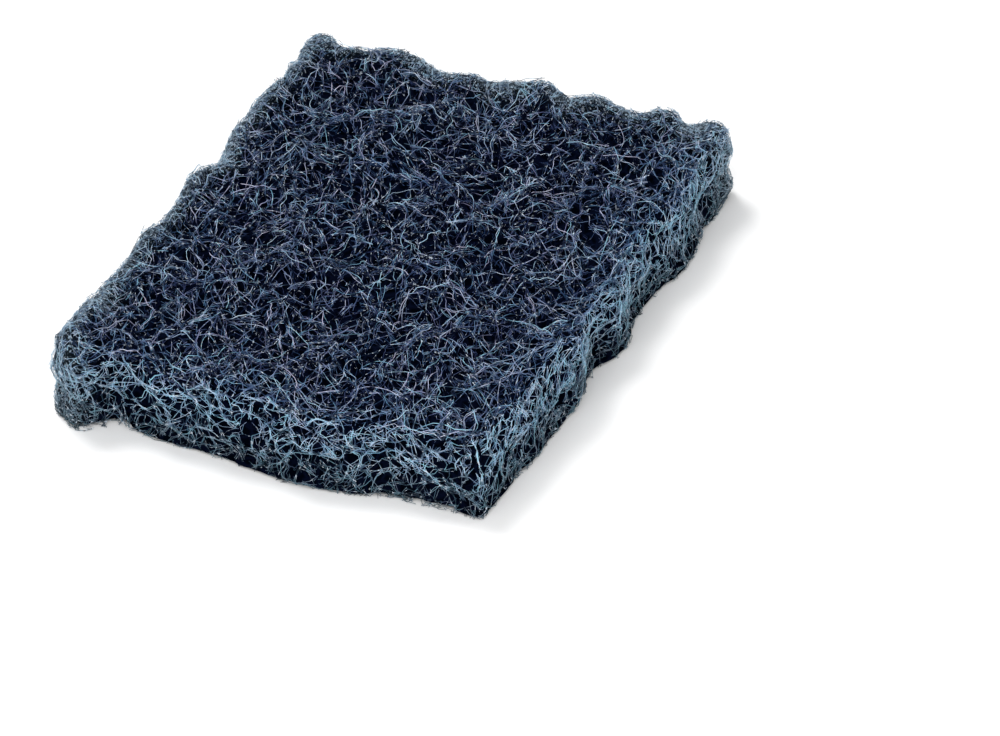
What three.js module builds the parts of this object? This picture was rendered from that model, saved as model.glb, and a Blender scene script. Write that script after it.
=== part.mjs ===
// A hand-size scouring pad: one lofty slab of crimped nylon fibres, bonded where they cross.
// Units are millimetres, +Z up. The pad lies on its flat underside with its long side along Y,
// and the origin is the centre of the underside.

import * as THREE from "three";

// Size of the slab, between the mean lines of its cut edges
const PAD_LENGTH = 133;
const PAD_WIDTH = 102;
const PAD_THICKNESS = 19;
const CORNER_RADIUS = 2;

// Section of the cut wall: two lobes with a crease between them, then a roll-over onto the top.
// The crease is deepest at the corners and fades towards the middle of each edge.
const CREASE_DEPTH = 1.1;
const CREASE_FADE = 0.75;
const ROLL_RADIUS = 3.2;
const ROWS_PER_LOBE = 4;
const ROLL_ROWS = 3;

// Each cut edge wanders off its straight line: [share of the edge, swell outward].
// The edges run counter-clockwise, seen from above, from the front left corner.
const FRONT_SWELL = [
  [0, -0.2], [0.035, 0.8], [0.085, 4.2], [0.125, 1], [0.17, -1.8], [0.22, -0.7], [0.38, 0.1],
  [0.55, 1.7], [0.68, 0.8], [0.8, -1.4], [0.95, -1.6],
];
const RIGHT_SWELL = [
  [0, -1.2], [0.06, -0.8], [0.15, -0.3], [0.38, -0.1], [0.45, -1.2], [0.51, 1.2],
  [0.605, -0.8], [0.69, -0.4], [0.76, 1.2], [0.83, 0.7], [0.88, -0.8], [0.92, 0.2], [0.97, -0.7],
];
const BACK_SWELL = [
  [0, -0.4], [0.04, 2], [0.09, -3.8], [0.145, 4.4], [0.215, -1.4], [0.25, -2], [0.31, -0.5], [0.385, -4.6],
  [0.43, -0.2], [0.46, -0.6], [0.53, -5], [0.56, -4.8], [0.61, -1], [0.675, -3], [0.77, 2],
  [0.83, 2.2], [0.895, -3.2], [0.955, -2.6],
];
const LEFT_SWELL = [
  [0, 3], [0.05, 0.7], [0.11, -0.2], [0.2, 0.5], [0.3, 1.7], [0.37, -0.2], [0.425, -3.2], [0.475, -0.4],
  [0.54, -0.3], [0.6, -1.8], [0.645, -1.4], [0.695, 0.9], [0.76, -0.4], [0.8, -0.2], [0.855, -2.3],
  [0.9, -0.2], [0.94, -0.9], [0.98, -0.5],
];
// How far in from the edge these waves have died away
const SWELL_REACH = 14;

// Slow hills in the lofty top
const HILL_HEIGHT = 0.7;
const HILL_SPACING = 58;

// Relief of the open web: raised strands of fibre with pits between them.
// The pits are deep in the lofty top and the clean-cut front, and shallow in the other, matted edges.
const CELL = 2.35;
const STRAND_LIFT = 0.9;
const TOP_PIT_DEPTH = 4.5;
const FRONT_PIT_DEPTH = 3.2;
const EDGE_PIT_DEPTH = 1.9;
const STRAND_LENGTH = 32;
const TIGHTEST_BEND = 9;
// Mean distance between the starts of neighbouring strands
const STRAND_SPACING = 15;
// How far a strand draws the grid's points onto its own line, as a share of the way
const STRAND_PULL = 0.45;
// The steepest a strand lies across the wall, in radians
const WALL_STRAND_SLOPE = 0.4;
const SEED = 21;

// Repeatable chance: the same seed always gives the same web
THREE.MathUtils.seededRandom(SEED);
const between = (low, high) => THREE.MathUtils.lerp(low, high, THREE.MathUtils.seededRandom());

// The grid that the surface is drawn on: columns across the width, rows along the length
const COLUMNS = Math.round(PAD_WIDTH / CELL);
const ROWS = Math.round(PAD_LENGTH / CELL);
const STATIONS = 2 * (COLUMNS + ROWS);

// The four edges of a square from -1 to 1, each with its grid steps and its waves
const EDGES = [
  { from: [-1, -1], to: [1, -1], steps: COLUMNS, swell: FRONT_SWELL },
  { from: [1, -1], to: [1, 1], steps: ROWS, swell: RIGHT_SWELL },
  { from: [1, 1], to: [-1, 1], steps: COLUMNS, swell: BACK_SWELL },
  { from: [-1, 1], to: [-1, -1], steps: ROWS, swell: LEFT_SWELL },
];

// A point's offset from the rectangle that the corner arcs are centred on, rounded off in the corners
function cornerOffset(point, half) {
  const beyond = (at, limit) => Math.sign(at) * Math.max(Math.abs(at) - limit + CORNER_RADIUS, 0);
  const square = new THREE.Vector2(beyond(point.x, half.x), beyond(point.y, half.y));
  const round = square.clone().setLength(Math.max(Math.abs(square.x), Math.abs(square.y)));
  return { square, round };
}

// Stations at even steps along one wavy edge, up to the first station of the next edge
function edgeStations({ from, to, steps, swell }, index) {
  const [nextCorner] = EDGES[(index + 1) % EDGES.length].swell;
  const shares = [...swell.map(([share]) => share), 1];
  const swells = [...swell.map(([, out]) => out), nextCorner[1]];
  const wave = new THREE.CubicInterpolant(shares, swells, 1);
  const half = new THREE.Vector2(PAD_WIDTH / 2, PAD_LENGTH / 2);
  return Array.from({ length: steps }, (_, step) => {
    const place = new THREE.Vector2(...from).lerp(new THREE.Vector2(...to), step / steps);
    const towardsCorner = Math.min(Math.abs(place.x), Math.abs(place.y));
    return {
      place,
      swell: wave.evaluate(step / steps)[0],
      outward: cornerOffset(place.clone().multiply(half), half).round.normalize(),
      crease: CREASE_DEPTH * (1 - CREASE_FADE * (1 - towardsCorner ** 2)),
    };
  });
}
const stations = EDGES.flatMap(edgeStations);

// Where a station lies on an outline drawn in from the cut edge by an inset
function rimPoint({ place, swell, outward }, inset) {
  const half = new THREE.Vector2(PAD_WIDTH / 2 - inset, PAD_LENGTH / 2 - inset);
  const point = place.clone().multiply(half);
  const { square, round } = cornerOffset(point, half);
  return point.sub(square).add(round).addScaledVector(outward, swell * (1 - inset / SWELL_REACH));
}

// The wall's rows from the underside to the top: share of the crease's depth drawn in,
// inset of the roll-over, height, and how far the surface leans back to face up
function wallRows() {
  const wallHeight = PAD_THICKNESS - ROLL_RADIUS;
  const lobeRows = 2 * ROWS_PER_LOBE;
  const rows = [];
  for (let row = 0; row < lobeRows; row++) {
    const share = row / lobeRows;
    const bulge = Math.abs(Math.sin(2 * Math.PI * share));
    rows.push({ tuck: 1 - bulge, inset: 0, height: wallHeight * share, lean: 0 });
  }
  for (let row = 0; row <= ROLL_ROWS; row++) {
    const lean = (Math.PI / 2) * (row / ROLL_ROWS);
    const inset = ROLL_RADIUS * (1 - Math.cos(lean));
    rows.push({ tuck: 1, inset, height: wallHeight + ROLL_RADIUS * Math.sin(lean), lean });
  }
  return rows;
}
const wall = wallRows();
const rimRow = wall.length - 1;

// Lays curving strands over a grid. Each point gets how far it moves across, along and proud:
// points under a strand are drawn onto its line and lifted, and the rest sink into pits.
// The pits are as deep as their column allows, slope limits how steeply strands cross the columns,
// and a wrapping grid closes on itself.
function webRelief(columns, rows, pitDepth, slope, wraps) {
  const pit = (_, index) => new THREE.Vector3(0, 0, -pitDepth(index % columns) * between(0.2, 1));
  const relief = Array.from({ length: columns * rows }, pit);
  const strandCount = Math.round((columns * rows * CELL ** 2) / STRAND_SPACING ** 2);
  for (let strand = 0; strand < strandCount; strand++) {
    const lift = STRAND_LIFT * between(0.4, 1);
    const turn = between(-1, 1) * (CELL / TIGHTEST_BEND);
    let heading = between(-1, 1) * slope;
    let column = between(0, columns);
    let row = between(0, rows);
    for (let step = 0; step < STRAND_LENGTH / CELL; step++) {
      const nearColumn = Math.round(column);
      const nearRow = Math.round(row);
      const gridColumn = wraps ? (nearColumn + columns) % columns : nearColumn;
      const onGrid = gridColumn >= 0 && gridColumn < columns && nearRow >= 0 && nearRow < rows;
      const knot = onGrid ? relief[nearRow * columns + gridColumn] : null;
      if (knot && knot.z < lift) {
        const pull = STRAND_PULL * CELL;
        knot.set((column - nearColumn) * pull, (row - nearRow) * pull, lift);
      }
      column += Math.cos(heading);
      row += Math.sin(heading);
      heading += turn;
    }
  }
  return (column, row) => relief[row * columns + column];
}

// The top's hills lift everything in proportion to its height, so the underside stays flat
function loft(point) {
  const turn = (2 * Math.PI) / HILL_SPACING;
  const hill = HILL_HEIGHT * Math.sin(turn * point.x + 1) * Math.cos(turn * point.y);
  point.z *= 1 + hill / PAD_THICKNESS;
  return point;
}

// Points of the wall, row by row from the underside to the rim of the top
function wallPoints() {
  const pitDepth = (station) => (station > 0 && station < COLUMNS ? FRONT_PIT_DEPTH : EDGE_PIT_DEPTH);
  const relief = webRelief(STATIONS, wall.length, pitDepth, WALL_STRAND_SLOPE, true);
  return wall.flatMap(({ tuck, inset, height, lean }, row) =>
    stations.map((station, index) => {
      const proud = row === 0 ? 0 : relief(index, row).z;
      const place = rimPoint(station, inset + tuck * station.crease);
      place.addScaledVector(station.outward, proud * Math.cos(lean));
      return { proud, place: loft(new THREE.Vector3(place.x, place.y, height + proud * Math.sin(lean))) };
    }),
  );
}

// The rim station that a point on the border of the top's grid shares
function borderStation(column, row) {
  if (row === 0) return column;
  if (column === COLUMNS) return COLUMNS + row;
  if (row === ROWS) return COLUMNS + ROWS + (COLUMNS - column);
  return (2 * COLUMNS + ROWS + (ROWS - row)) % STATIONS;
}

// A point of the top, blended across from the four sides of its rim
function topPlace(column, row) {
  const across = column / COLUMNS;
  const along = row / ROWS;
  const rim = (c, r) => {
    const station = stations[borderStation(c, r)];
    return rimPoint(station, wall[rimRow].inset + station.crease);
  };
  const mix = (a, b, share) => a.clone().lerp(b, share);
  const sides = mix(rim(0, row), rim(COLUMNS, row), across);
  const ends = mix(rim(column, 0), rim(column, ROWS), along);
  const front = mix(rim(0, 0), rim(COLUMNS, 0), across);
  const back = mix(rim(0, ROWS), rim(COLUMNS, ROWS), across);
  return sides.add(ends).sub(mix(front, back, along));
}

// Points of the top inside its rim
function topPoints() {
  const relief = webRelief(COLUMNS, ROWS, () => TOP_PIT_DEPTH, Math.PI, false);
  const points = [];
  for (let row = 1; row < ROWS; row++) {
    for (let column = 1; column < COLUMNS; column++) {
      const { x, y } = topPlace(column, row);
      const knot = relief(column, row);
      const place = loft(new THREE.Vector3(x + knot.x, y + knot.y, PAD_THICKNESS + knot.z));
      points.push({ proud: knot.z, place });
    }
  }
  return points;
}

function padGeometry() {
  const points = [...wallPoints(), ...topPoints()];
  const triangles = [];
  // Four corners in order become two triangles, split along the diagonal that stands prouder
  const addCell = (a, b, c, d) => {
    const split = points[a].proud + points[c].proud > points[b].proud + points[d].proud;
    triangles.push(...(split ? [a, b, c, a, c, d] : [a, b, d, b, c, d]));
  };

  for (let row = 0; row < rimRow; row++) {
    for (let index = 0; index < STATIONS; index++) {
      const next = (index + 1) % STATIONS;
      const low = row * STATIONS;
      const high = low + STATIONS;
      addCell(low + index, low + next, high + next, high + index);
    }
  }

  const topIndex = (column, row) => {
    const onBorder = column === 0 || row === 0 || column === COLUMNS || row === ROWS;
    if (onBorder) return rimRow * STATIONS + borderStation(column, row);
    return wall.length * STATIONS + (row - 1) * (COLUMNS - 1) + column - 1;
  };
  for (let row = 0; row < ROWS; row++) {
    for (let column = 0; column < COLUMNS; column++) {
      const corners = [[column, row], [column + 1, row], [column + 1, row + 1], [column, row + 1]];
      addCell(...corners.map((corner) => topIndex(...corner)));
    }
  }

  const underside = points.slice(0, STATIONS).map(({ place }) => new THREE.Vector2(place.x, place.y));
  for (const [a, b, c] of THREE.ShapeUtils.triangulateShape(underside, [])) triangles.push(c, b, a);

  const geometry = new THREE.BufferGeometry().setFromPoints(points.map(({ place }) => place));
  geometry.setIndex(triangles);
  geometry.computeBoundingBox();
  const middle = geometry.boundingBox.getCenter(new THREE.Vector3());
  geometry.translate(-middle.x, -middle.y, 0);
  geometry.computeVertexNormals();
  return geometry;
}

const bondedFibre = new THREE.MeshStandardMaterial({ color: "#3b4a5f", roughness: 0.65, metalness: 0 });

const pad = new THREE.Mesh(padGeometry(), bondedFibre);
pad.name = "scouring_pad";

const model = new THREE.Group();
model.add(pad);

export default model;
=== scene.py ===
"""A dark blue scouring pad: an open web of crimped nylon fibres, stuck where they cross and cut oblong."""

import math

import bmesh
import bpy
from mathutils import Matrix, Vector
from mathutils.kdtree import KDTree


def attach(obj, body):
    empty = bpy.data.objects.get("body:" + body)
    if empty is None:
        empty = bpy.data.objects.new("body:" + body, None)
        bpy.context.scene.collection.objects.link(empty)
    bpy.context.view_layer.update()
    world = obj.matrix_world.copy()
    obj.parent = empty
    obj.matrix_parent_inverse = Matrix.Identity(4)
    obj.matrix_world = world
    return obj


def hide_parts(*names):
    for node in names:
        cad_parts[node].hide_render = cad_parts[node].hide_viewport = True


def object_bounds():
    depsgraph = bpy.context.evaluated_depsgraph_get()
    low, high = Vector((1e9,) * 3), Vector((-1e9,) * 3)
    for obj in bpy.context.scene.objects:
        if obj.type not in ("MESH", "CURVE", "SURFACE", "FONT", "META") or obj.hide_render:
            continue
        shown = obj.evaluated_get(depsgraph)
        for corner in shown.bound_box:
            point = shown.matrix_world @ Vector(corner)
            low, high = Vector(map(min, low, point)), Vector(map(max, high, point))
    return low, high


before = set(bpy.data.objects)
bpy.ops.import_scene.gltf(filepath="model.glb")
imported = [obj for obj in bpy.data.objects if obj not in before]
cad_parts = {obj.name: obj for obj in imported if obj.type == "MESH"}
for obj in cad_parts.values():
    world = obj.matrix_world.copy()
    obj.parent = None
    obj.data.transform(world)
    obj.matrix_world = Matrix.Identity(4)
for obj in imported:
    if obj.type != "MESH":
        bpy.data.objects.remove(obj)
cad_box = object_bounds()

# Inner web
# The pad is one lofty web right through, and what lies a few millimetres down is a mass of fibre in near-black
# painted shade.
# It is nylon, laid by air, sprayed with resin and cured, and it keeps the wavy edges that the knife left.
MM = 0.001
MERGE_DISTANCE = 0.001 * MM
IN_PLAN = Vector((1, 1, 0))

# Smoothing draws the skin in and lets it out again, so that the pad doesn't shrink
SMOOTHING_STEPS = (0.5, -0.53)
TOP_ROUNDS = {"smoothing": 6, "crest": 2, "levelling": 4}
WALL_ROUNDS = {"smoothing": 2, "crest": 1, "levelling": 2}
FOOT_HEIGHT = 0.1 * MM
WALL_LEAN = 0.5
TOP_LEAN = 0.9

# The rims at the back and left and the two corners that are matted, and the right edge, which gets painted
# teal light
MATTED_WAY = Vector((-0.6, 0.8, 0))
MATTED_FROM = -0.3
MATTED_FULL = 0.1
RIM_WIDTH = 6 * MM
RIM_FOOT = 6 * MM
RIM_HEAD = 18 * MM
FELT_CORNERS = [Vector(corner) * IN_PLAN for corner in cad_box]
CORNER_FELT_REACH = 20 * MM
TEAL_LIGHT_WAY = Vector((0.9, -0.44, 0))
TEAL_LIGHT_WIDTH = 16 * MM

# How far the dark inside lies under the skin, and how high it stays above the table
CORE_DEPTH = 1.5 * MM
MATTED_CORE_DEPTH = 0.6 * MM
FOOT_CORE_DEPTH = 0.8 * MM
FOOT_CORE_HEIGHT = 3 * MM
FLOOR_CLEARANCE = 0.6 * MM

# Deep fibres, drawn as coarse as they need to show, their near-black colours painted shade
CORE_LUMP_SIZE = 2.5 * MM
CORE_FIBRE_WIDTH = 0.5 * MM
CORE_DARK = "#01030a"
CORE_PALE = "#060b1c"

# Felt: cells of matted fibre with dark cracks between them, closing up as the web gets more matted
CRACKLE_SIZE = 0.7 * MM
CRACKLE_EDGE = 0.14
SPECK_SIZE = 0.9 * MM
SPECK_DETAIL = 2.0
SPECK_FROM = 0.42
SPECK_FULL = 0.6
SPECK_DARKEST = 0.12
FELT_CLOSING = 0.5
FELT_HALF_CLOSED = 0.75
FELT_FROM = 0.1
FELT_FULL = 0.5
FELT_RELIEF = 0.6
MATTED_DARK = "#0b1218"
MATTED_PALE = "#98abbc"
MATTED_ROUGHNESS = 0.9
MATTED_SPECULAR = 0.0
NYLON_IOR = 1.53

# The sockets of a mix node that are its colours
FIRST_COLOUR = 6
SECOND_COLOUR = 7
COLOUR_MIX = {"kind": "ShaderNodeMix", "output": 2, "data_type": "RGBA"}


def linear(hex_colour):
    """An sRGB hex colour as the linear RGBA that a shader's socket takes."""
    shares = [int(hex_colour[place:place + 2], 16) / 255 for place in (1, 3, 5)]
    lights = [part / 12.92 if part <= 0.04045 else ((part + 0.055) / 1.055) ** 2.4 for part in shares]
    return lights + [1.0]


def add_node(tree, kind, inputs=None, output=0, **settings):
    """Adds a node with its settings, links or sets its inputs, and returns one of its outputs."""
    node = tree.nodes.new(kind)
    for setting, value in settings.items():
        setattr(node, setting, value)
    for socket, value in (inputs or {}).items():
        if isinstance(value, bpy.types.NodeSocket):
            tree.links.new(value, node.inputs[socket])
        else:
            node.inputs[socket].default_value = value
    return node.outputs[output] if len(node.outputs) else node


def share(value, start, full):
    """How far a value has gone from where an effect starts to where it is full, from 0 to 1."""
    return min(max((value - start) / (full - start), 0), 1)


def neighbours(vertex):
    """The points of the skin next to one of its points."""
    return [edge.other_vert(vertex) for edge in vertex.link_edges]


def settle(vertices, step):
    """Moves each point of the skin a share of the way to the middle of its neighbours."""
    places = []
    for vertex in vertices:
        middle = sum((other.co for other in neighbours(vertex)), Vector()) / len(vertex.link_edges)
        places.append(vertex.co.lerp(middle, step))
    for vertex, place in zip(vertices, places):
        vertex.co = place


def crest_places(shape, smoothing, crest, levelling):
    """Places and normals of a skin level with the strands: the solid smoothed, then lifted to its crests."""
    solid_places = [vertex.co.copy() for vertex in shape.verts]
    raised = [vertex for vertex in shape.verts if vertex.co.z > FOOT_HEIGHT]
    for _ in range(smoothing):
        for step in SMOOTHING_STEPS:
            settle(raised, step)
    shape.normal_update()
    crests = [(place - vertex.co).dot(vertex.normal) for vertex, place in zip(shape.verts, solid_places)]
    for _ in range(crest):
        crests = [max(crests[near.index] for near in [vertex] + neighbours(vertex)) for vertex in shape.verts]
    for _ in range(levelling):
        crests = [
            sum(crests[near.index] for near in neighbours(vertex)) / len(vertex.link_edges)
            for vertex in shape.verts
        ]
    places = []
    normals = []
    for vertex, solid_place in zip(shape.verts, solid_places):
        on_foot = vertex.co.z < FOOT_HEIGHT
        way = (vertex.normal * IN_PLAN).normalized() if on_foot else vertex.normal
        places.append(vertex.co + way * crests[vertex.index])
        normals.append(vertex.normal.copy())
        vertex.co = solid_place
    return places, normals


def mark_edges(shape, matted, teal_light):
    """Marks how matted each point of the skin is and how much painted teal light it gets, by the wall nearest
    to it in plan.
    """
    walls = [vertex for vertex in shape.verts if abs(vertex.normal.z) < WALL_LEAN]
    wall_tree = KDTree(len(walls))
    for number, vertex in enumerate(walls):
        wall_tree.insert(vertex.co * IN_PLAN, number)
    wall_tree.balance()
    for vertex in shape.verts:
        plan_place = vertex.co * IN_PLAN
        _, number, distance = wall_tree.find(plan_place)
        wall_way = walls[number].normal
        closeness = max(1 - distance / RIM_WIDTH, 0)
        facing = share(wall_way.dot(MATTED_WAY), MATTED_FROM, MATTED_FULL)
        rim_matting = closeness * facing * share(vertex.co.z, RIM_FOOT, RIM_HEAD)
        corner_distance = min((plan_place - corner).length for corner in FELT_CORNERS)
        corner_matting = max(1 - corner_distance / CORNER_FELT_REACH, 0)
        vertex[matted] = max(rim_matting, corner_matting)
        # Painted light: a paler, teal colour on the edge that faces the front right
        vertex[teal_light] = max(1 - distance / TEAL_LIGHT_WIDTH, 0) * max(wall_way.dot(TEAL_LIGHT_WAY), 0)


def pad_skin():
    """The pad's outer face level with its strands, marked with its pits, its felt and its edge of painted teal
    light.
    """
    shape = bmesh.new()
    shape.from_mesh(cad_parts["scouring_pad"].data)
    bmesh.ops.remove_doubles(shape, verts=shape.verts, dist=MERGE_DISTANCE)
    matted = shape.verts.layers.float.new("matted")
    pit = shape.verts.layers.float.new("pit")
    teal_light = shape.verts.layers.float.new("teal_light")
    shape.verts.index_update()
    top_places, top_normals = crest_places(shape, **TOP_ROUNDS)
    wall_places, _ = crest_places(shape, **WALL_ROUNDS)
    for vertex, top_place, wall_place, normal in zip(shape.verts, top_places, wall_places, top_normals):
        place = wall_place.lerp(top_place, share(normal.z, WALL_LEAN, TOP_LEAN))
        vertex[pit] = max((place - vertex.co).dot(normal), 0)
        vertex.co = place
    shape.normal_update()
    mark_edges(shape, matted, teal_light)
    mesh = bpy.data.meshes.new("pad_skin")
    shape.to_mesh(mesh)
    shape.free()
    mesh.shade_smooth()
    return mesh


def new_material(name):
    """An empty node material and the surface socket that its shader goes to."""
    material = bpy.data.materials.new(name)
    material.use_nodes = True
    material.node_tree.nodes.clear()
    output = material.node_tree.nodes.new("ShaderNodeOutputMaterial")
    return material, material.node_tree, output.inputs["Surface"]


def matted_nylon():
    """Matted nylon: near-black deep down, where no light comes back, and grey-blue felt at a closed edge."""
    material, tree, surface = new_material("matted_nylon")
    place = add_node(tree, "ShaderNodeTexCoord", output="Object")
    matted = add_node(tree, "ShaderNodeAttribute", output="Fac", attribute_name="matted")

    # Threads between the lumps of the dark inside
    to_thread = add_node(
        tree,
        "ShaderNodeTexVoronoi",
        {"Vector": place, "Scale": 1 / CORE_LUMP_SIZE},
        feature="DISTANCE_TO_EDGE",
    )
    thread_width = CORE_FIBRE_WIDTH / CORE_LUMP_SIZE
    thread = add_node(
        tree,
        "ShaderNodeMapRange",
        {"Value": to_thread, "From Min": 0.0, "From Max": thread_width, "To Min": 1.0, "To Max": 0.0},
    )
    deep = add_node(
        tree,
        inputs={"Factor": thread, FIRST_COLOUR: linear(CORE_DARK), SECOND_COLOUR: linear(CORE_PALE)},
        **COLOUR_MIX,
    )

    # Cells of felt, speckled, with cracks that close where the web is matted most
    to_crack = add_node(
        tree,
        "ShaderNodeTexVoronoi",
        {"Vector": place, "Scale": 1 / CRACKLE_SIZE},
        feature="DISTANCE_TO_EDGE",
    )
    closed = add_node(
        tree,
        "ShaderNodeMath",
        {0: matted, 1: FELT_CLOSING, 2: -FELT_CLOSING * FELT_HALF_CLOSED},
        operation="MULTIPLY_ADD",
    )
    closing = add_node(tree, "ShaderNodeMath", {0: to_crack, 1: closed}, operation="ADD")
    cell = add_node(
        tree, "ShaderNodeMapRange", {"Value": closing, "From Min": 0.0, "From Max": CRACKLE_EDGE}
    )
    specks = add_node(
        tree, "ShaderNodeTexNoise", {"Vector": place, "Scale": 1 / SPECK_SIZE, "Detail": SPECK_DETAIL}
    )
    speck = add_node(
        tree,
        "ShaderNodeMapRange",
        {"Value": specks, "From Min": SPECK_FROM, "From Max": SPECK_FULL, "To Min": SPECK_DARKEST},
    )
    felted = add_node(tree, "ShaderNodeMath", {0: cell, 1: speck}, operation="MULTIPLY")
    felt = add_node(
        tree,
        inputs={"Factor": felted, FIRST_COLOUR: linear(MATTED_DARK), SECOND_COLOUR: linear(MATTED_PALE)},
        **COLOUR_MIX,
    )
    felt_share = add_node(
        tree, "ShaderNodeMapRange", {"Value": matted, "From Min": FELT_FROM, "From Max": FELT_FULL}
    )
    colour = add_node(
        tree, inputs={"Factor": felt_share, FIRST_COLOUR: deep, SECOND_COLOUR: felt}, **COLOUR_MIX
    )
    relief = add_node(
        tree,
        "ShaderNodeBump",
        {"Strength": FELT_RELIEF, "Distance": CORE_FIBRE_WIDTH, "Height": felted},
    )
    shader = add_node(
        tree,
        "ShaderNodeBsdfPrincipled",
        {
            "Base Color": colour,
            "Roughness": MATTED_ROUGHNESS,
            "IOR": NYLON_IOR,
            "Specular IOR Level": MATTED_SPECULAR,
            "Normal": relief,
        },
    )
    tree.links.new(shader, surface)
    return material


skin = pad_skin()
core_shape = bmesh.new()
core_shape.from_mesh(skin)
matted_layer = core_shape.verts.layers.float["matted"]
pit_layer = core_shape.verts.layers.float["pit"]
for vertex in core_shape.verts:
    closed_foot = max(1 - vertex.co.z / FOOT_CORE_HEIGHT, 0)
    open_depth = vertex[pit_layer] + CORE_DEPTH
    wall_depth = open_depth + (FOOT_CORE_DEPTH - open_depth) * closed_foot
    core_depth = wall_depth + (MATTED_CORE_DEPTH - wall_depth) * vertex[matted_layer]
    vertex.co = vertex.co - vertex.normal * core_depth
    vertex.co.z = max(vertex.co.z, FLOOR_CLEARANCE)
core_mesh = bpy.data.meshes.new("inner_web")
core_shape.to_mesh(core_mesh)
core_shape.free()
core_mesh.shade_smooth()
core_mesh.materials.append(matted_nylon())
core = bpy.data.objects.new("inner_web", core_mesh)
bpy.context.scene.collection.objects.link(core)
rounding = core.modifiers.new("rounding", "SUBSURF")
rounding.levels = 1
rounding.render_levels = 1
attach(core, "root")
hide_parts("scouring_pad")

# Surface fibres
# The fibres that show on top are crimped nylon threads about an eighth of a millimetre thick.
# They lie over one another in arcs round open black holes, and cured resin sticks them where they cross.
# Finer ones fill the two layers below, so that the eye meets fibre on its way down to the dark.
THINNEST_FIBRE = 0.1 * MM
FIBRE_SIDES = 3
FIBRE_SHORTEST = 0.9 * MM
CREST_ROUNDING = 0.5 * MM
MAP_COLUMNS = 16

# No fibre goes nearer to the table than this, and sideways the limit is far off
LOWEST_PLACE = (-1.0, -1.0, THINNEST_FIBRE)

# Bonds: places to try for each spacing squared, how far a fibre misses its bond, and the resin round it
BOND_TRIES = 1.2
BOND_SCATTER = 0.4 * MM
BOND_REACH = 0.7 * MM
RESIN_SWELL = 0.2

# The rims of the open holes go in and out between these shares of the hole's radius
RAG_SIZE = 2.0 * MM
RAG_DETAIL = 0.0
RAG_FROM = 0.3
RAG_FULL = 0.7
RAG_SMALLEST = 0.4
RAG_LARGEST = 1.3

# What each fibre draws by lot: a seed, the lowest and the highest value
FIBRE_LOTS = {
    "bow": (1, -1.0, 1.0),
    "crimp_start": (2, 0.0, 2 * math.pi),
    "crimp_waves": (3, 4.0, 11.0),
    "thickness": (4, 0.8, 1.25),
    "shade": (5, 0.2, 1.8),
    "hue": (7, 0.0, 1.0),
}
ASIDE_SEED = 6

# Colours of the coat, dark and pale, on the top, on the walls with their painted light, in the felt and in the
# painted glints
FIBRE_NAVY = "#0f1736"
FIBRE_LILAC = "#e4daf5"
FIBRE_CYAN = "#a6e2f4"
WALL_NAVY = "#12283a"
WALL_TEAL = "#9cd8ee"
WALL_TEAL_SHARE = 0.5
FELT_GREY = "#a4bccb"
GLINT_WHITE = "#dfebf8"
COAT_ROUGHNESS = 0.4
COAT_SPECULAR = 0.02

# Patches with more resin, pale flecks along a fibre and small painted glints, each from noise of its own size
COAT_SPOTS = {
    "patch": {"size": 9 * MM, "detail": 2.0, "start": 0.55, "full": 0.72},
    "fleck": {"size": 2.4 * MM, "detail": 1.0, "start": 0.38, "full": 0.54},
    "glint": {"size": 0.7 * MM, "detail": 0.0, "start": 0.65, "full": 0.75},
}

# How light fades with depth in the web and near the table, painted as shade into the colour, and what the
# resin and the painted light on the walls and the teal right edge add to it
LIGHT_DEPTHS = {"Red": 0.9 * MM, "Green": 1.0 * MM, "Blue": 1.4 * MM}
GLINT_DEPTH = 6 * MM
FOOT_SHADE = 0.2
FOOT_SHADE_HEIGHT = 11 * MM
WALL_START = 1.0
WALL_FULL = 0.1
WALL_LIGHT_GAIN = 1.0
WALL_LIGHT_LIFT = 0.04
TEAL_LIGHT_LIFT = 0.3
RESIN_LIFT = 0.4

# The sockets of a mix node that are its numbers
FIRST_NUMBER = 2
SECOND_NUMBER = 3

# Nodes that read a value stored on the skin, a bond or a fibre
STORED_NUMBER = {"kind": "GeometryNodeInputNamedAttribute", "output": "Attribute", "data_type": "FLOAT"}
STORED_COUNT = STORED_NUMBER | {"data_type": "INT"}
STORED_PLACE = STORED_NUMBER | {"data_type": "FLOAT_VECTOR"}

# Nodes that draw by lot: a number between sockets 2 and 3, a count between 4 and 5, a way between 0 and 1
DRAWN_NUMBER = {"kind": "FunctionNodeRandomValue", "output": 1}
DRAWN_COUNT = {"kind": "FunctionNodeRandomValue", "output": 2, "data_type": "INT"}
DRAWN_WAY = {"kind": "FunctionNodeRandomValue", "output": 0, "data_type": "FLOAT_VECTOR"}


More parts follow.
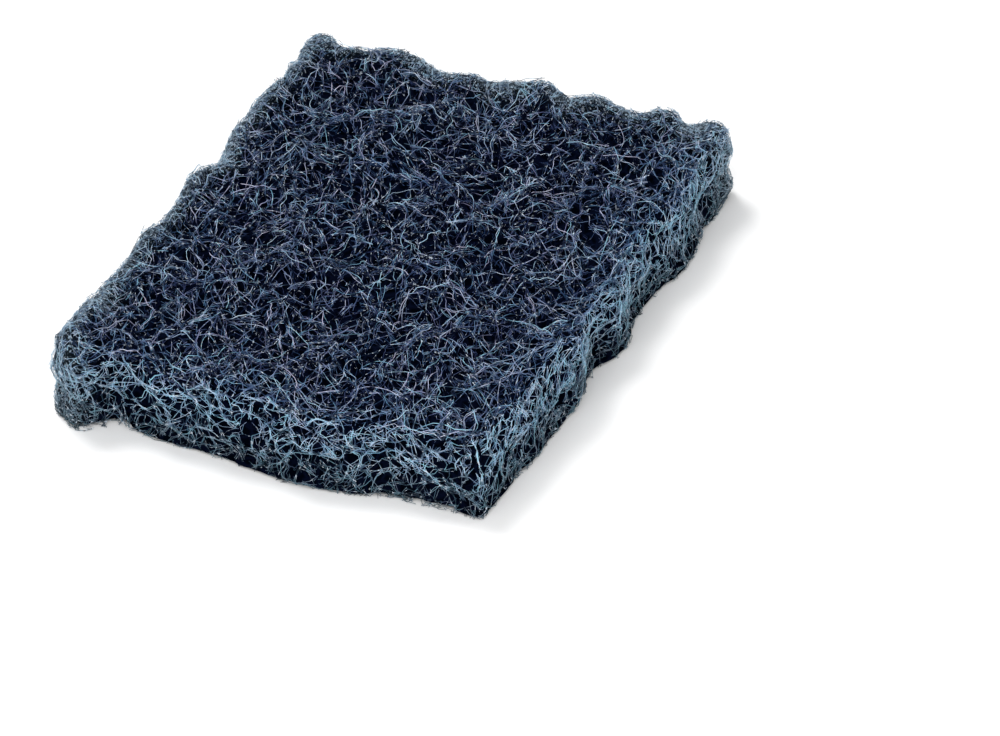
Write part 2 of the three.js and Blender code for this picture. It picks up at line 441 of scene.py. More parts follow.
def coated_nylon():
    """Nylon fibre in a coat of cured resin: satin, navy to steel blue, flecked where the coat is thick, with
    painted shade, painted light and painted glints.
    """
    material, tree, surface = new_material("coated_nylon")
    place = add_node(tree, "ShaderNodeTexCoord", output="Object")
    mark = {
        name: add_node(tree, "ShaderNodeAttribute", output="Fac", attribute_name=name)
        for name in ("depth", "shade", "hue", "lean", "matted", "teal_light", "resin")
    }
    spot = {}
    for name, noise in COAT_SPOTS.items():
        cloud = add_node(
            tree,
            "ShaderNodeTexNoise",
            {"Vector": place, "Scale": 1 / noise["size"], "Detail": noise["detail"]},
        )
        spot[name] = add_node(
            tree,
            "ShaderNodeMapRange",
            {"Value": cloud, "From Min": noise["start"], "From Max": noise["full"]},
        )

    # The dark and the pale end of the coat's colour, turned teal by resin, felt and the painted teal light on
    # the walls and the right edge
    wall_light = add_node(
        tree, "ShaderNodeMapRange", {"Value": mark["lean"], "From Min": WALL_START, "From Max": WALL_FULL}
    )
    tealness = spot["patch"]
    for cause in (wall_light, mark["resin"], mark["matted"], mark["teal_light"]):
        tealness = add_node(tree, "ShaderNodeMath", {0: tealness, 1: cause}, operation="MAXIMUM")
    dark = add_node(
        tree,
        inputs={"Factor": tealness, FIRST_COLOUR: linear(FIBRE_NAVY), SECOND_COLOUR: linear(WALL_NAVY)},
        **COLOUR_MIX,
    )
    tinted = add_node(
        tree,
        inputs={"Factor": mark["hue"], FIRST_COLOUR: linear(FIBRE_LILAC), SECOND_COLOUR: linear(FIBRE_CYAN)},
        **COLOUR_MIX,
    )
    teal_share = add_node(tree, "ShaderNodeMath", {0: tealness, 1: WALL_TEAL_SHARE}, operation="MULTIPLY")
    coloured = add_node(
        tree,
        inputs={"Factor": teal_share, FIRST_COLOUR: tinted, SECOND_COLOUR: linear(WALL_TEAL)},
        **COLOUR_MIX,
    )
    pale = add_node(
        tree,
        inputs={"Factor": mark["matted"], FIRST_COLOUR: coloured, SECOND_COLOUR: linear(FELT_GREY)},
        **COLOUR_MIX,
    )

    # How pale each place of a fibre is, with painted light on the walls and the right edge and paler resin at
    # the bonds
    faded = add_node(tree, "ShaderNodeMath", {0: mark["shade"], 1: spot["fleck"]}, operation="MULTIPLY")
    edge = add_node(tree, "ShaderNodeMath", {0: wall_light, 1: mark["teal_light"]}, operation="MAXIMUM")
    gain = add_node(tree, "ShaderNodeMath", {0: edge, 1: WALL_LIGHT_GAIN, 2: 1.0}, operation="MULTIPLY_ADD")
    paleness = add_node(tree, "ShaderNodeMath", {0: faded, 1: gain}, operation="MULTIPLY")
    for cause, lift in ((edge, WALL_LIGHT_LIFT), (mark["teal_light"], TEAL_LIGHT_LIFT), (mark["resin"], RESIN_LIFT)):
        paleness = add_node(
            tree,
            "ShaderNodeMath",
            {0: cause, 1: lift, 2: paleness},
            operation="MULTIPLY_ADD",
            use_clamp=True,
        )
    lit = add_node(tree, inputs={"Factor": paleness, FIRST_COLOUR: dark, SECOND_COLOUR: pale}, **COLOUR_MIX)

    # Painted shade that deepens with depth: red goes first on the way down, so that the depths turn blue
    light = {}
    for channel, light_depth in LIGHT_DEPTHS.items():
        layers = add_node(tree, "ShaderNodeMath", {0: mark["depth"], 1: -light_depth}, operation="DIVIDE")
        light[channel] = add_node(tree, "ShaderNodeMath", {0: layers}, operation="EXPONENT", use_clamp=True)
    dimming = add_node(tree, "ShaderNodeCombineColor", light)
    dimmed = add_node(
        tree,
        inputs={"Factor": 1.0, FIRST_COLOUR: lit, SECOND_COLOUR: dimming},
        blend_type="MULTIPLY",
        **COLOUR_MIX,
    )
    # Painted shade, darker towards the table
    height = add_node(tree, "ShaderNodeSeparateXYZ", {"Vector": place}, output="Z")
    standing = add_node(
        tree,
        "ShaderNodeMapRange",
        {"Value": height, "From Min": 0.0, "From Max": FOOT_SHADE_HEIGHT, "To Min": FOOT_SHADE},
    )
    shaded = add_node(tree, "ShaderNodeVectorMath", {0: dimmed, "Scale": standing}, operation="SCALE")

    # Painted glints: white specks that stand for highlights and grains on the resin, and show from deeper down
    glint_layers = add_node(tree, "ShaderNodeMath", {0: mark["depth"], 1: -GLINT_DEPTH}, operation="DIVIDE")
    glint_light = add_node(tree, "ShaderNodeMath", {0: glint_layers}, operation="EXPONENT", use_clamp=True)
    glint = add_node(tree, "ShaderNodeMath", {0: spot["glint"], 1: glint_light}, operation="MULTIPLY")
    colour = add_node(
        tree,
        inputs={"Factor": glint, FIRST_COLOUR: shaded, SECOND_COLOUR: linear(GLINT_WHITE)},
        **COLOUR_MIX,
    )
    shader = add_node(
        tree,
        "ShaderNodeBsdfPrincipled",
        {
            "Base Color": colour,
            "Roughness": COAT_ROUGHNESS,
            "IOR": NYLON_IOR,
            "Specular IOR Level": COAT_SPECULAR,
        },
    )
    tree.links.new(shader, surface)
    return material


def skin_near(tree, given, place, marks):
    """The point of the skin nearest to a place, with its normal and the marks that it has there."""
    fields = {"normal": add_node(tree, "GeometryNodeInputNormal")}
    for name in marks:
        fields[name] = add_node(tree, inputs={"Name": name}, **STORED_NUMBER)
    found = {}
    for name, field in fields.items():
        found[name] = add_node(
            tree,
            "GeometryNodeSampleNearestSurface",
            {"Mesh": given["Skin"], "Value": field, "Sample Position": place},
            data_type="FLOAT_VECTOR" if name == "normal" else "FLOAT",
        )
    found["face"] = add_node(
        tree,
        "GeometryNodeProximity",
        {"Geometry": given["Skin"], "Sample Position": place},
        target_element="FACES",
    )
    return found


def scatter_bonds(tree, given):
    """Bonds under the skin where it faces as the inputs say, out of the holes and at depths drawn by lot."""
    normal = add_node(tree, "GeometryNodeInputNormal")
    position = add_node(tree, "GeometryNodeInputPosition")
    index = add_node(tree, "GeometryNodeInputIndex")
    upward = add_node(tree, "ShaderNodeSeparateXYZ", {"Vector": normal}, output="Z")
    matted = add_node(tree, inputs={"Name": "matted"}, **STORED_NUMBER)
    limits = (
        (upward, "Upward Least", "GREATER_EQUAL"),
        (upward, "Upward Most", "LESS_EQUAL"),
        (matted, "Matted Least", "GREATER_EQUAL"),
    )
    chosen = True
    for value, limit, comparison in limits:
        within = add_node(tree, "FunctionNodeCompare", {0: value, 1: given[limit]}, operation=comparison)
        chosen = add_node(tree, "FunctionNodeBooleanMath", {0: chosen, 1: within}, operation="AND")
    spacing = given["Bond Spacing"]
    bond_area = add_node(tree, "ShaderNodeMath", {0: spacing, 1: spacing}, operation="MULTIPLY")
    tries = add_node(tree, "ShaderNodeMath", {0: BOND_TRIES, 1: bond_area}, operation="DIVIDE")
    scattered = add_node(
        tree,
        "GeometryNodeDistributePointsOnFaces",
        {
            "Mesh": given["Skin"],
            "Selection": chosen,
            "Distance Min": spacing,
            "Density Max": tries,
            "Seed": given["Seed"],
        },
        distribute_method="POISSON",
    )

    # A bond inside an open hole goes out to its ragged rim, and no hole reaches the table
    hole_scale = add_node(tree, "ShaderNodeMath", {0: 1.0, 1: given["Hole Spacing"]}, operation="DIVIDE")
    hole = add_node(tree, "ShaderNodeTexVoronoi", {"Vector": position, "Scale": hole_scale}).node.outputs
    hole_chance = add_node(tree, "FunctionNodeSeparateColor", {"Color": hole["Color"]}, output="Red")
    ragged = add_node(
        tree, "ShaderNodeTexNoise", {"Vector": position, "Scale": 1 / RAG_SIZE, "Detail": RAG_DETAIL}
    )
    rag_limits = {"From Min": RAG_FROM, "From Max": RAG_FULL, "To Min": RAG_SMALLEST, "To Max": RAG_LARGEST}
    rag = add_node(tree, "ShaderNodeMapRange", {"Value": ragged} | rag_limits)
    mean_radius = add_node(
        tree, "ShaderNodeMath", {0: hole_chance, 1: given["Hole Radius"]}, operation="MULTIPLY"
    )
    ragged_radius = add_node(tree, "ShaderNodeMath", {0: mean_radius, 1: rag}, operation="MULTIPLY")
    above_floor = add_node(tree, "ShaderNodeSeparateXYZ", {"Vector": position}, output="Z")
    hole_radius = add_node(tree, "ShaderNodeMath", {0: ragged_radius, 1: above_floor}, operation="MINIMUM")
    from_hole = add_node(
        tree, "ShaderNodeVectorMath", {0: position, 1: hole["Position"]}, operation="SUBTRACT"
    )
    distance = add_node(tree, "ShaderNodeVectorMath", {0: from_hole}, output="Value", operation="LENGTH")
    new_distance = add_node(tree, "ShaderNodeMath", {0: distance, 1: hole_radius}, operation="MAXIMUM")
    direction = add_node(tree, "ShaderNodeVectorMath", {0: from_hole}, operation="NORMALIZE")
    offset = add_node(tree, "ShaderNodeVectorMath", {0: direction, "Scale": new_distance}, operation="SCALE")
    clear = add_node(tree, "ShaderNodeVectorMath", {0: hole["Position"], 1: offset}, operation="ADD")

    # Each bond sinks by its own lot, and further over a pit
    skin_there = skin_near(tree, given, clear, ["pit"])
    layer = add_node(
        tree,
        inputs={2: given["Shallow"], 3: given["Deep"], "ID": index, "Seed": given["Seed"]},
        **DRAWN_NUMBER,
    )
    depth = add_node(
        tree,
        "ShaderNodeMath",
        {0: skin_there["pit"], 1: given["Relief"], 2: layer},
        operation="MULTIPLY_ADD",
    )
    sunk = add_node(
        tree, "ShaderNodeVectorMath", {0: skin_there["normal"], "Scale": depth}, operation="SCALE"
    )
    place = add_node(tree, "ShaderNodeVectorMath", {0: skin_there["face"], 1: sunk}, operation="SUBTRACT")

    # A second place, flattened and drawn in along the grain, decides which bonds are close
    flat_sunk = add_node(
        tree, "ShaderNodeVectorMath", {0: sunk, "Scale": given["Steepness"]}, operation="SCALE"
    )
    flat_bond = add_node(
        tree, "ShaderNodeVectorMath", {0: skin_there["face"], 1: flat_sunk}, operation="SUBTRACT"
    )
    on_grain = add_node(tree, "ShaderNodeVectorMath", {0: flat_bond, 1: given["Grain"]}, operation="PROJECT")
    drawn_in = add_node(
        tree, "ShaderNodeVectorMath", {0: on_grain, "Scale": given["Grain Pull"]}, operation="SCALE"
    )
    flat_place = add_node(tree, "ShaderNodeVectorMath", {0: flat_bond, 1: drawn_in}, operation="SUBTRACT")
    marked = add_node(
        tree,
        "GeometryNodeStoreNamedAttribute",
        {"Geometry": scattered, "Name": "flat_place", "Value": flat_place},
        data_type="FLOAT_VECTOR",
        domain="POINT",
    )
    return add_node(tree, "GeometryNodeSetPosition", {"Geometry": marked, "Position": place})


def pair_bonds(tree, given, bonds):
    """The starts of the fibres: each goes from a bond to the nearest other bond of a crowd drawn by lot."""
    position = add_node(tree, "GeometryNodeInputPosition")
    index = add_node(tree, "GeometryNodeInputIndex")
    repeated = add_node(
        tree,
        "GeometryNodeDuplicateElements",
        {"Geometry": bonds, "Amount": given["Fibres per Bond"]},
        domain="POINT",
    )
    round_number = repeated.node.outputs["Duplicate Index"]
    last_crowd = add_node(tree, "FunctionNodeIntegerMath", {0: given["Crowd"], 1: 1}, operation="SUBTRACT")
    crowd = add_node(
        tree, inputs={4: 0, 5: last_crowd, "ID": index, "Seed": given["Seed"]}, **DRAWN_COUNT
    )
    own_round = add_node(
        tree, "FunctionNodeIntegerMath", {0: round_number, 1: given["Crowd"]}, operation="MULTIPLY"
    )
    own_crowd = add_node(tree, "FunctionNodeIntegerMath", {0: own_round, 1: crowd}, operation="ADD")
    flat_place = add_node(tree, inputs={"Name": "flat_place"}, **STORED_PLACE)
    other = add_node(tree, "GeometryNodeIndexOfNearest", {"Position": flat_place, "Group ID": own_crowd})
    far_bond = add_node(
        tree, "GeometryNodeFieldAtIndex", {"Value": position, "Index": other}, data_type="FLOAT_VECTOR"
    )
    paired = add_node(
        tree,
        "GeometryNodeStoreNamedAttribute",
        {"Geometry": repeated, "Name": "far_bond", "Value": far_bond},
        data_type="FLOAT_VECTOR",
        domain="POINT",
    )
    far_end = add_node(tree, inputs={"Name": "far_bond"}, **STORED_PLACE)
    span = add_node(
        tree, "ShaderNodeVectorMath", {0: far_end, 1: position}, output="Value", operation="DISTANCE"
    )
    too_long = add_node(tree, "FunctionNodeCompare", {0: span, 1: given["Longest"]}, operation="GREATER_THAN")
    too_short = add_node(tree, "FunctionNodeCompare", {0: span, 1: FIBRE_SHORTEST}, operation="LESS_THAN")
    unfit = add_node(tree, "FunctionNodeBooleanMath", {0: too_long, 1: too_short}, operation="OR")
    return add_node(
        tree, "GeometryNodeDeleteGeometry", {"Geometry": paired, "Selection": unfit}, domain="POINT"
    )


def string_fibres(tree, given, starts):
    """The paths of the fibres, bowed and crimped from bond to bond along the skin, and their thickness."""
    position = add_node(tree, "GeometryNodeInputPosition")
    index = add_node(tree, "GeometryNodeInputIndex")
    line = add_node(tree, "GeometryNodeCurvePrimitiveLine")
    strand = add_node(tree, "GeometryNodeResampleCurve", {"Curve": line, "Count": given["Points"]})
    copies = add_node(tree, "GeometryNodeInstanceOnPoints", {"Points": starts, "Instance": strand})
    strands = add_node(tree, "GeometryNodeRealizeInstances", {"Geometry": copies})
    along = add_node(tree, "GeometryNodeSplineParameter", output="Factor")
    number = add_node(
        tree, "FunctionNodeIntegerMath", {0: index, 1: given["Points"]}, operation="DIVIDE_FLOOR"
    )
    lot = {
        name: add_node(tree, inputs={2: low, 3: high, "ID": number, "Seed": seed}, **DRAWN_NUMBER)
        for name, (seed, low, high) in FIBRE_LOTS.items()
    }
    aside = add_node(
        tree,
        inputs={0: (-1.0, -1.0, -1.0), 1: (1.0, 1.0, 1.0), "ID": number, "Seed": ASIDE_SEED},
        **DRAWN_WAY,
    )

    # Both ends, a little beside their bonds
    far_end = add_node(tree, inputs={"Name": "far_bond"}, **STORED_PLACE)
    beside = add_node(tree, "ShaderNodeVectorMath", {0: aside, "Scale": BOND_SCATTER}, operation="SCALE")
    end = {}
    for name, field, operation in (("near", position, "ADD"), ("far", far_end, "SUBTRACT")):
        bond = add_node(
            tree,
            "GeometryNodeSampleIndex",
            {"Geometry": starts, "Value": field, "Index": number},
            data_type="FLOAT_VECTOR",
        )
        end[name] = add_node(tree, "ShaderNodeVectorMath", {0: bond, 1: beside}, operation=operation)
    stretch = add_node(tree, "ShaderNodeVectorMath", {0: end["far"], 1: end["near"]}, operation="SUBTRACT")

    # The bowed and crimped path, which goes past both ends by the overshoot
    before = add_node(tree, "ShaderNodeMath", {0: given["Overshoot"], 1: -1.0}, operation="MULTIPLY")
    after = add_node(tree, "ShaderNodeMath", {0: given["Overshoot"], 1: 1.0}, operation="ADD")
    travel = add_node(
        tree,
        "ShaderNodeMix",
        {"Factor": along, FIRST_NUMBER: before, SECOND_NUMBER: after},
        clamp_factor=False,
    )
    left = add_node(tree, "ShaderNodeMath", {0: 1.0, 1: travel}, operation="SUBTRACT")
    arch = add_node(tree, "ShaderNodeMath", {0: travel, 1: left}, operation="MULTIPLY")
    bow_height = add_node(tree, "ShaderNodeMath", {0: given["Bow"], 1: lot["bow"]}, operation="MULTIPLY")
    bowed = add_node(tree, "ShaderNodeMath", {0: bow_height, 1: arch}, operation="MULTIPLY")
    crimp_phase = add_node(
        tree,
        "ShaderNodeMath",
        {0: lot["crimp_waves"], 1: travel, 2: lot["crimp_start"]},
        operation="MULTIPLY_ADD",
    )
    crimp_wave = add_node(tree, "ShaderNodeMath", {0: crimp_phase}, operation="SINE")
    crimp_height = add_node(tree, "ShaderNodeMath", {0: given["Crimp"], 1: arch}, operation="MULTIPLY")
    crimped = add_node(tree, "ShaderNodeMath", {0: crimp_wave, 1: crimp_height}, operation="MULTIPLY")
    bow_side = add_node(tree, "ShaderNodeVectorMath", {0: stretch, 1: aside}, operation="CROSS_PRODUCT")
    stretch_way = add_node(tree, "ShaderNodeVectorMath", {0: stretch}, operation="NORMALIZE")
    crimp_side = add_node(
        tree, "ShaderNodeVectorMath", {0: stretch_way, 1: bow_side}, operation="CROSS_PRODUCT"
    )
    strung = end["near"]
    for way, amount in ((stretch, travel), (bow_side, bowed), (crimp_side, crimped)):
        moved = add_node(tree, "ShaderNodeVectorMath", {0: way, "Scale": amount}, operation="SCALE")
        strung = add_node(tree, "ShaderNodeVectorMath", {0: strung, 1: moved}, operation="ADD")

    # Folded back where it would rise past the crest over the skin, and kept above the table
    skin_there = skin_near(tree, given, strung, ["matted", "teal_light"])
    lean = add_node(tree, "ShaderNodeSeparateXYZ", {"Vector": skin_there["normal"]}, output="Z")
    below_skin = add_node(
        tree, "ShaderNodeVectorMath", {0: skin_there["face"], 1: strung}, operation="SUBTRACT"
    )
    strung_depth = add_node(
        tree,
        "ShaderNodeVectorMath",
        {0: below_skin, 1: skin_there["normal"]},
        output="Value",
        operation="DOT_PRODUCT",
    )
    past_crest = add_node(tree, "ShaderNodeMath", {0: strung_depth, 1: given["Crest"]}, operation="SUBTRACT")
    squared = add_node(
        tree, "ShaderNodeMath", {0: past_crest, 1: past_crest, 2: CREST_ROUNDING**2}, operation="MULTIPLY_ADD"
    )
    folded = add_node(tree, "ShaderNodeMath", {0: squared}, operation="SQRT")
    below_crest = add_node(tree, "ShaderNodeMath", {0: folded, 1: CREST_ROUNDING}, operation="SUBTRACT")
    depth = add_node(tree, "ShaderNodeMath", {0: folded, 1: given["Crest"]}, operation="ADD")
    sunk = add_node(
        tree, "ShaderNodeVectorMath", {0: skin_there["normal"], "Scale": depth}, operation="SCALE"
    )
    laid = add_node(tree, "ShaderNodeVectorMath", {0: skin_there["face"], 1: sunk}, operation="SUBTRACT")
    cleared = add_node(tree, "ShaderNodeVectorMath", {0: laid, 1: LOWEST_PLACE}, operation="MAXIMUM")

    # Resin that has run together round each bond
    to_near = add_node(tree, "ShaderNodeMath", {0: travel}, operation="ABSOLUTE")
    to_far = add_node(tree, "ShaderNodeMath", {0: left}, operation="ABSOLUTE")
    to_bond = add_node(tree, "ShaderNodeMath", {0: to_near, 1: to_far}, operation="MINIMUM")
    span = add_node(tree, "ShaderNodeVectorMath", {0: stretch}, output="Value", operation="LENGTH")
    bond_distance = add_node(tree, "ShaderNodeMath", {0: to_bond, 1: span}, operation="MULTIPLY")
    resin = add_node(
        tree,
        "ShaderNodeMapRange",
        {"Value": bond_distance, "From Min": 0.0, "From Max": BOND_REACH, "To Min": 1.0, "To Max": 0.0},
    )
    swell = add_node(
        tree, "ShaderNodeMath", {0: resin, 1: RESIN_SWELL, 2: lot["thickness"]}, operation="MULTIPLY_ADD"
    )
    thickness = add_node(tree, "ShaderNodeMath", {0: swell, 1: given["Thickness"]}, operation="MULTIPLY")

    # What the material and the fibre map read from each fibre
    for name, value, kind in (
        ("depth", below_crest, "FLOAT"),
        ("shade", lot["shade"], "FLOAT"),
        ("hue", lot["hue"], "FLOAT"),
        ("lean", lean, "FLOAT"),
        ("matted", skin_there["matted"], "FLOAT"),
        ("teal_light", skin_there["teal_light"], "FLOAT"),
        ("resin", resin, "FLOAT"),
        ("fibre", number, "INT"),
        ("along", along, "FLOAT"),
    ):
        strands = add_node(
            tree,
            "GeometryNodeStoreNamedAttribute",
            {"Geometry": strands, "Name": name, "Value": value},
            data_type=kind,
            domain="POINT",
        )
    paths = add_node(tree, "GeometryNodeSetPosition", {"Geometry": strands, "Position": cleared})
    for name in ("flat_place", "far_bond"):
        paths = add_node(tree, "GeometryNodeRemoveAttribute", {"Geometry": paths, "Name": name})
    return paths, thickness


def draw_tubes(tree, given, starts, paths, thickness):
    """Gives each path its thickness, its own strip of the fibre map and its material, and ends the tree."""
    # The profile is one wide, so that its scale is the fibre's thickness
    profile = add_node(tree, "GeometryNodeCurvePrimitiveCircle", {"Resolution": FIBRE_SIDES, "Radius": 0.5})
    side = add_node(tree, "GeometryNodeInputIndex")
    profile_place = add_node(tree, "ShaderNodeMath", {0: side, 1: FIBRE_SIDES}, operation="DIVIDE")
    marked_profile = add_node(
        tree,
        "GeometryNodeStoreNamedAttribute",
        {"Geometry": profile, "Name": "around", "Value": profile_place},
        data_type="FLOAT",
        domain="POINT",
    )
    tubes = add_node(
        tree,
        "GeometryNodeCurveToMesh",
        {"Curve": paths, "Profile Curve": marked_profile, "Scale": thickness, "Fill Caps": True},
    )

    # The strips fill the map one row of columns after another
    fibre = add_node(tree, inputs={"Name": "fibre"}, **STORED_COUNT)
    along = add_node(tree, inputs={"Name": "along"}, **STORED_NUMBER)
    around = add_node(tree, inputs={"Name": "around"}, **STORED_NUMBER)
    fibre_count = add_node(
        tree,
        "GeometryNodeAttributeDomainSize",
        {"Geometry": starts},
        output="Point Count",
        component="POINTCLOUD",
    )
    columns_filled = add_node(tree, "ShaderNodeMath", {0: fibre_count, 1: MAP_COLUMNS}, operation="DIVIDE")
    rows = add_node(tree, "ShaderNodeMath", {0: columns_filled}, operation="CEIL")
    column = add_node(tree, "ShaderNodeMath", {0: fibre, 1: MAP_COLUMNS}, operation="FLOORED_MODULO")
    row_share = add_node(tree, "ShaderNodeMath", {0: fibre, 1: MAP_COLUMNS}, operation="DIVIDE")
    row = add_node(tree, "ShaderNodeMath", {0: row_share}, operation="FLOOR")
    across = add_node(tree, "ShaderNodeMath", {0: column, 1: along}, operation="ADD")
    down = add_node(tree, "ShaderNodeMath", {0: row, 1: around}, operation="ADD")
    map_u = add_node(tree, "ShaderNodeMath", {0: across, 1: MAP_COLUMNS}, operation="DIVIDE")
    map_v = add_node(tree, "ShaderNodeMath", {0: down, 1: rows}, operation="DIVIDE")
    map_place = add_node(tree, "ShaderNodeCombineXYZ", {"X": map_u, "Y": map_v})
    mapped = add_node(
        tree,
        "GeometryNodeStoreNamedAttribute",
        {"Geometry": tubes, "Name": "OFBake", "Value": map_place},
        data_type="FLOAT2",
        domain="CORNER",
    )
    for name in ("fibre", "along", "around"):
        mapped = add_node(tree, "GeometryNodeRemoveAttribute", {"Geometry": mapped, "Name": name})
    smooth = add_node(tree, "GeometryNodeSetShadeSmooth", {"Geometry": mapped})
    single = add_node(tree, "GeometryNodeRealizeInstances", {"Geometry": smooth})
    painted = add_node(tree, "GeometryNodeSetMaterial", {"Geometry": single, "Material": given["Material"]})
    add_node(tree, "NodeGroupOutput", {"Web": painted})


def bonded_web_tree():
    """A web of fibres strung between bonds under the pad's skin, with its sizes as named inputs."""
    tree = bpy.data.node_groups.new("bonded_web", "GeometryNodeTree")
    sockets = {
        "Skin": "NodeSocketGeometry",
        "Upward Least": "NodeSocketFloat",
        "Upward Most": "NodeSocketFloat",
        "Matted Least": "NodeSocketFloat",
        "Bond Spacing": "NodeSocketFloat",
        "Fibres per Bond": "NodeSocketInt",
        "Crowd": "NodeSocketInt",
        "Longest": "NodeSocketFloat",
        "Points": "NodeSocketInt",
        "Thickness": "NodeSocketFloat",
        "Bow": "NodeSocketFloat",
        "Crimp": "NodeSocketFloat",
        "Overshoot": "NodeSocketFloat",
        "Shallow": "NodeSocketFloat",
        "Deep": "NodeSocketFloat",
        "Relief": "NodeSocketFloat",
        "Steepness": "NodeSocketFloat",
        "Grain": "NodeSocketVector",
        "Grain Pull": "NodeSocketFloat",
        "Crest": "NodeSocketFloat",
        "Hole Spacing": "NodeSocketFloat",
        "Hole Radius": "NodeSocketFloat",
        "Seed": "NodeSocketInt",
        "Material": "NodeSocketMaterial",
    }
    for name, kind in sockets.items():
        tree.interface.new_socket(name, in_out="INPUT", socket_type=kind)
    tree.interface.new_socket("Web", in_out="OUTPUT", socket_type="NodeSocketGeometry")
    given = tree.nodes.new("NodeGroupInput").outputs
    bonds = scatter_bonds(tree, given)
    starts = pair_bonds(tree, given, bonds)
    paths, thickness = string_fibres(tree, given, starts)
    draw_tubes(tree, given, starts, paths, thickness)
    return tree


def lay_fibres(name, tree, sizes):
    """Lays one piece of the web on the skin with the tree's sizes, and turns it into a plain mesh."""
    piece = bpy.data.objects.new(name, skin.copy())
    bpy.context.scene.collection.objects.link(piece)
    modifier = piece.modifiers.new("fibres", "NODES")
    modifier.node_group = tree
    identifiers = {item.name: item.identifier for item in tree.interface.items_tree}
    for socket, value in sizes.items():
        modifier[identifiers[socket]] = value
    laid = piece.evaluated_get(bpy.context.evaluated_depsgraph_get())
    mesh = bpy.data.meshes.new_from_object(laid)
    piece.modifiers.clear()
    piece.data = mesh
    mesh.name = name
    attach(piece, "root")


nylon = coated_nylon()
web_tree = bonded_web_tree()
top_web = {
    "Upward Least": 0.4,
    "Upward Most": 2.0,
    "Matted Least": -1.0,
    "Bond Spacing": 2.3 * MM,
    "Fibres per Bond": 2,
    "Crowd": 13,
    "Longest": 14 * MM,
    "Points": 9,
    "Thickness": 0.125 * MM,
    "Bow": 1.25,
    "Crimp": 0.35,
    "Overshoot": 0.1,
    "Shallow": -0.3 * MM,
    "Deep": 0.6 * MM,
    "Relief": 0.4,
    "Steepness": 0.5,
    "Grain": (-0.44, 0.9, 0.0),
    "Grain Pull": 0.35,
    "Crest": -0.6 * MM,
    "Hole Spacing": 6 * MM,
    "Hole Radius": 2.2 * MM,
    "Seed": 3,
    "Material": nylon,
}
lay_fibres("top_surface_fibres", web_tree, top_web)
middle_web = top_web | {
    "Bond Spacing": 1.9 * MM,
    "Crowd": 8,
    "Points": 7,
    "Thickness": THINNEST_FIBRE,
    "Shallow": 0.0 * MM,
    "Deep": 1.2 * MM,
    "Relief": 0.9,
    "Seed": 4,
}
lay_fibres("top_middle_fibres", web_tree, middle_web)
deep_web = middle_web | {"Points": 5, "Shallow": 0.3 * MM, "Deep": 1.5 * MM, "Relief": 1.0, "Seed": 9}
lay_fibres("top_inner_fibres", web_tree, deep_web)

# Wall fibres
# The walls show the web as the knife cut it: short curled nylon threads round wide black openings.
# A second layer lies behind the first, and a fuzz of shorter, finer threads softens the walls and rims.
wall_web = top_web | {
    "Upward Least": -0.95,
    "Upward Most": 0.6,
    "Bond Spacing": 1.7 * MM,
    "Crowd": 8,
    "Longest": 7 * MM,
    "Points": 5,
    "Thickness": 0.105 * MM,
    "Bow": 1.5,
    "Crimp": 0.5,
    "Deep": 0.8 * MM,
    "Grain Pull": 0.0,
    "Crest": -0.1 * MM,
    "Hole Spacing": 7 * MM,
    "Hole Radius": 4.1 * MM,
    "Seed": 5,
}
lay_fibres("wall_fibres", web_tree, wall_web)
wall_inner_web = wall_web | {
    "Bond Spacing": 2.0 * MM,
    "Shallow": 0.0 * MM,
    "Deep": 1.4 * MM,
    "Relief": 1.0,
    "Seed": 10,
}
lay_fibres("wall_inner_fibres", web_tree, wall_inner_web)
wall_fuzz_web = wall_web | {
    "Upward Most": 0.82,
    "Bond Spacing": 1.8 * MM,
    "Crowd": 2,
    "Longest": 4 * MM,
    "Points": 3,
    "Thickness": THINNEST_FIBRE,
    "Shallow": -0.2 * MM,
    "Deep": 0.6 * MM,
    "Seed": 11,
}
lay_fibres("wall_fuzz_fibres", web_tree, wall_fuzz_web)

# Matted edge fibres
# Pressing and cutting matted the web along its upper rims at the back and left and at two corners.
# There short, fine nylon threads lie flat and close together, and the resin sticks them into a felt.
matted_web = wall_web | {
    "Upward Least": -0.6,
    "Upward Most": 2.0,
    "Matted Least": 0.2,
    "Bond Spacing": 0.95 * MM,
    "Crowd": 4,
    "Longest": 3 * MM,
    "Points": 3,
    "Thickness": THINNEST_FIBRE,
    "Bow": 0.3,
    "Overshoot": 0.0,
    "Shallow": -0.1 * MM,
    "Deep": 0.4 * MM,
    "Relief": 0.2,
    "Hole Radius": 0.0 * MM,
    "Seed": 8,
}
lay_fibres("matted_edge_fibres", web_tree, matted_web)

# Underside fibres
# The face that the pad lies on is the same bonded nylon web, pressed flat by its own weight.
# Its fibres lie nearly level and just clear of the table.
under_web = top_web | {
    "Upward Least": -2.0,
    "Upward Most": -0.6,
    "Bond Spacing": 2.5 * MM,
    "Crowd": 4,
    "Points": 6,
    "Grain Pull": 0.0,
    "Shallow": 0.1 * MM,
    "Deep": 0.5 * MM,
    "Crest": 0.05 * MM,
    "Seed": 6,
}
lay_fibres("underside_fibres", web_tree, under_web)

# Floor and light
# A plain table of matt white card stands in a pale room, whose walls look white behind it.
# Two soft square lamps light the pad, one high up at the back left and a wider one near the front.
FLOOR_SIDE = 6.0
FLOOR_WHITE = "#fafafa"
ROOM_WHITE = "#ffffff"
ROOM_STRENGTH = 0.45


def white_card():
    """Matt white card: it takes the pad's soft shadow and no reflection."""
    material, tree, surface = new_material("white_card")
    shader = add_node(tree, "ShaderNodeBsdfDiffuse", {"Color": linear(FLOOR_WHITE)})
    tree.links.new(shader, surface)
    return material


def way_from_pad(azimuth, elevation):
    """The direction from the pad to a place round it and above the table, both angles in degrees."""
    turn = math.radians(azimuth)
    rise = math.radians(elevation)
    return Vector((math.sin(turn) * math.cos(rise), -math.cos(turn) * math.cos(rise), math.sin(rise)))


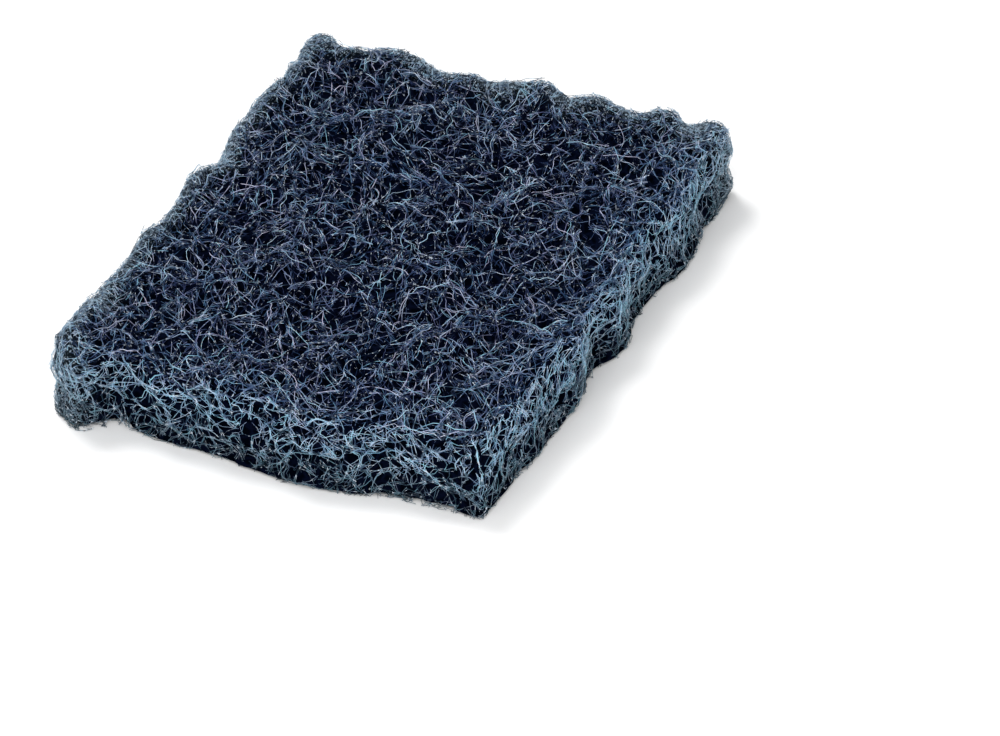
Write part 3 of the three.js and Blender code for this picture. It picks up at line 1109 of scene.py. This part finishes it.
def soft_lamp(name, azimuth, elevation, distance, side, watts):
    """A square lamp aimed at the pad."""
    lamp = bpy.data.lights.new(name, "AREA")
    lamp.size = side
    lamp.energy = watts
    lamp_way = way_from_pad(azimuth, elevation)
    holder = bpy.data.objects.new(name, lamp)
    holder.location = lamp_way * distance
    holder.rotation_euler = lamp_way.to_track_quat("Z", "Y").to_euler()
    bpy.context.scene.collection.objects.link(holder)


floor_mesh = bpy.data.meshes.new("table_top")
half_side = FLOOR_SIDE / 2
floor_corners = [(x * half_side, y * half_side, 0) for x, y in ((-1, -1), (1, -1), (1, 1), (-1, 1))]
floor_mesh.from_pydata(floor_corners, [], [(0, 1, 2, 3)])
floor_mesh.materials.append(white_card())
table_top = bpy.data.objects.new("table_top", floor_mesh)
bpy.context.scene.collection.objects.link(table_top)
soft_lamp("key_lamp", azimuth=240, elevation=60, distance=1.4, side=0.5, watts=11)
soft_lamp("front_lamp", azimuth=20, elevation=40, distance=0.8, side=0.8, watts=5.4)
world = bpy.data.worlds.new("pale_room")
world.use_nodes = True
room_light = world.node_tree.nodes["Background"].inputs
room_light["Color"].default_value = linear(ROOM_WHITE)
seen = add_node(world.node_tree, "ShaderNodeLightPath", output="Is Camera Ray")
strength = add_node(world.node_tree, "ShaderNodeMath", {0: seen, 1: ROOM_STRENGTH}, operation="MAXIMUM")
world.node_tree.links.new(strength, room_light["Strength"])
bpy.context.scene.world = world
bpy.context.scene.view_settings.view_transform = "Standard"

# Camera
# It looks down on the pad from the front right and from a long way off, as through a long lens.
# It is aimed beside the pad, so that the pad lies up and to the left of the picture's middle.
PICTURE_WIDTH = 1000
PICTURE_HEIGHT = 736
PAD_PIXEL = (397.4, 300.6)
FOCAL_PIXELS = 6000
VIEW_AZIMUTH = 26.17
VIEW_ELEVATION = 34.92
VIEW_ROLL = -1.61
VIEW_DISTANCE = 1284.7 * MM
SENSOR_WIDTH = 36
NEAREST_SEEN = 0.05
FARTHEST_SEEN = 20

camera_data = bpy.data.cameras.new("camera")
camera_data.sensor_width = SENSOR_WIDTH
camera_data.lens = FOCAL_PIXELS * SENSOR_WIDTH / PICTURE_WIDTH
camera_data.clip_start = NEAREST_SEEN
camera_data.clip_end = FARTHEST_SEEN
turn = math.radians(VIEW_AZIMUTH)
roll = math.radians(VIEW_ROLL)
back = way_from_pad(VIEW_AZIMUTH, VIEW_ELEVATION)
level_right = Vector((math.cos(turn), math.sin(turn), 0))
level_up = back.cross(level_right)
right = level_right * math.cos(roll) + level_up * math.sin(roll)
up = level_up * math.cos(roll) - level_right * math.sin(roll)
aim_right = (PICTURE_WIDTH / 2 - PAD_PIXEL[0]) / FOCAL_PIXELS
aim_down = (PICTURE_HEIGHT / 2 - PAD_PIXEL[1]) / FOCAL_PIXELS
sight = (right * aim_right - up * aim_down - back).normalized()
picture_right = (right - sight * right.dot(sight)).normalized()
picture_up = picture_right.cross(sight)
camera_turn = Matrix((picture_right, picture_up, -sight)).transposed().to_4x4()
camera = bpy.data.objects.new("camera", camera_data)
camera.matrix_world = Matrix.Translation(back * VIEW_DISTANCE) @ camera_turn
bpy.context.scene.collection.objects.link(camera)
bpy.context.scene.camera = camera
